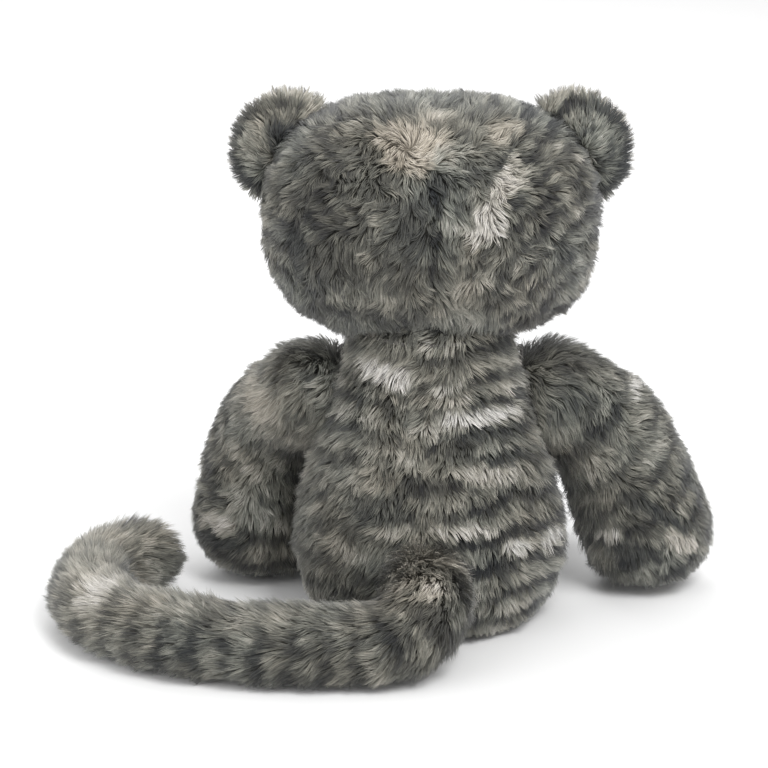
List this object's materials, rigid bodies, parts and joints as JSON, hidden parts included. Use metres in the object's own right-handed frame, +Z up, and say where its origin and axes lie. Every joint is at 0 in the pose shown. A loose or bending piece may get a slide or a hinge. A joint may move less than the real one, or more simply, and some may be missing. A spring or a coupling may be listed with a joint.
{
  "type": "plush cat",
  "caption": "Sitting plush tabby cat with a wide round head, egg-shaped body, splayed arms and a thick tail that curls round on the floor.",
  "frame": {"origin": "centre of the flat underside of the seat, on the surface that the toy sits on", "axes": "+Z up, -Y the way the face looks, +X the cat's own left side, where the tail lies"},
  "size_m": [0.2787, 0.2, 0.222],
  "materials": {
    "pile": "matte",
    "lining": "matte",
    "filling": "matte",
    "pouch": "matte",
    "pellets": "satin",
    "thread": "matte",
    "face_thread": "satin",
    "nose": "satin",
    "eye": "gloss",
    "washer": "satin"
  },
  "bodies": {
    "body": {"body_cover": "pile", "body_filling": "filling", "seat_pouch": "pouch", "seat_pellets": "pellets", "left_hip_thread": "thread", "right_hip_thread": "thread", "tail_thread": "thread"},
    "neck": {"neck_thread": "thread"},
    "head": {"head_cover": "pile", "head_filling": "filling", "left_eye": "eye", "right_eye": "eye", "left_eye_washer": "washer", "right_eye_washer": "washer", "nose": "nose", "mouth_stitch": "face_thread"},
    "left_ear": {"left_ear_back": "pile", "left_ear_lining": "lining"},
    "left_shoulder": {"left_shoulder_thread": "thread"},
    "left_arm": {"left_arm_cover": "pile", "left_arm_filling": "filling"},
    "left_leg": {"left_leg_cover": "pile", "left_leg_filling": "filling"},
    "right_ear": {"right_ear_back": "pile", "right_ear_lining": "lining"},
    "right_shoulder": {"right_shoulder_thread": "thread"},
    "right_arm": {"right_arm_cover": "pile", "right_arm_filling": "filling"},
    "right_leg": {"right_leg_cover": "pile", "right_leg_filling": "filling"},
    "tail_root": {"tail_root_cover": "pile", "tail_root_filling": "filling"},
    "tail_middle": {"tail_middle_cover": "pile", "tail_middle_filling": "filling"},
    "tail_tip": {"tail_tip_cover": "pile", "tail_tip_filling": "filling"}
  },
  "joints": [
    {"name": "head_turn", "type": "hinge", "parent": "body", "child": "neck", "pos_m": [0, 0, 0.116], "axis": [0, 0, 1], "range_deg": [-35, 35], "stiffness_Nm_per_rad": 0.15},
    {"name": "head_nod", "type": "hinge", "parent": "neck", "child": "head", "pos_m": [0, 0, 0.116], "axis": [1, 0, 0], "range_deg": [-15, 18], "stiffness_Nm_per_rad": 0.6},
    {"name": "left_ear_fold", "type": "hinge", "parent": "head", "child": "left_ear", "pos_m": [0.0478, -0.006, 0.189], "axis": [-0.676, 0, 0.7369], "range_deg": [-20, 20], "stiffness_Nm_per_rad": 0.03},
    {"name": "left_shoulder_swing", "type": "hinge", "parent": "body", "child": "left_shoulder", "pos_m": [0.0475, -0.008, 0.097], "axis": [-0.9659, 0, 0.259], "range_deg": [0, 50], "stiffness_Nm_per_rad": 0.1},
    {"name": "left_shoulder_lift", "type": "hinge", "parent": "left_shoulder", "child": "left_arm", "pos_m": [0.0475, -0.008, 0.097], "axis": [0, -1, 0], "range_deg": [0, 60], "stiffness_Nm_per_rad": 0.1},
    {"name": "left_hip_lift", "type": "hinge", "parent": "body", "child": "left_leg", "pos_m": [0.027, -0.036, 0.024], "axis": [-1, 0, 0], "range_deg": [0, 26], "stiffness_Nm_per_rad": 0.1},
    {"name": "right_ear_fold", "type": "hinge", "parent": "head", "child": "right_ear", "pos_m": [-0.0478, -0.006, 0.189], "axis": [-0.676, 0, -0.7369], "range_deg": [-20, 20], "stiffness_Nm_per_rad": 0.03},
    {"name": "right_shoulder_swing", "type": "hinge", "parent": "body", "child": "right_shoulder", "pos_m": [-0.049, -0.008, 0.097], "axis": [-0.9659, 0, -0.259], "range_deg": [-10, 70], "stiffness_Nm_per_rad": 0.1},
    {"name": "right_shoulder_lift", "type": "hinge", "parent": "right_shoulder", "child": "right_arm", "pos_m": [-0.049, -0.008, 0.097], "axis": [0, 1, 0], "range_deg": [0, 60], "stiffness_Nm_per_rad": 0.1},
    {"name": "right_hip_lift", "type": "hinge", "parent": "body", "child": "right_leg", "pos_m": [-0.027, -0.036, 0.024], "axis": [-1, 0, 0], "range_deg": [0, 26], "stiffness_Nm_per_rad": 0.1},
    {"name": "tail_root_swing", "type": "hinge", "parent": "body", "child": "tail_root", "pos_m": [0.003, 0.048, 0.031], "axis": [0, 0, 1], "range_deg": [0, 30], "stiffness_Nm_per_rad": 0.1},
    {"name": "tail_middle_bend", "type": "hinge", "parent": "tail_root", "child": "tail_middle", "pos_m": [0.06057, 0.07487, 0.01389], "axis": [0, 0, 1], "range_deg": [0, 30], "stiffness_Nm_per_rad": 0.06},
    {"name": "tail_tip_bend", "type": "hinge", "parent": "tail_middle", "child": "tail_tip", "pos_m": [0.12543, 0.05062, 0.01363], "axis": [0, 0, 1], "range_deg": [-10, 25], "stiffness_Nm_per_rad": 0.04}
  ]
}
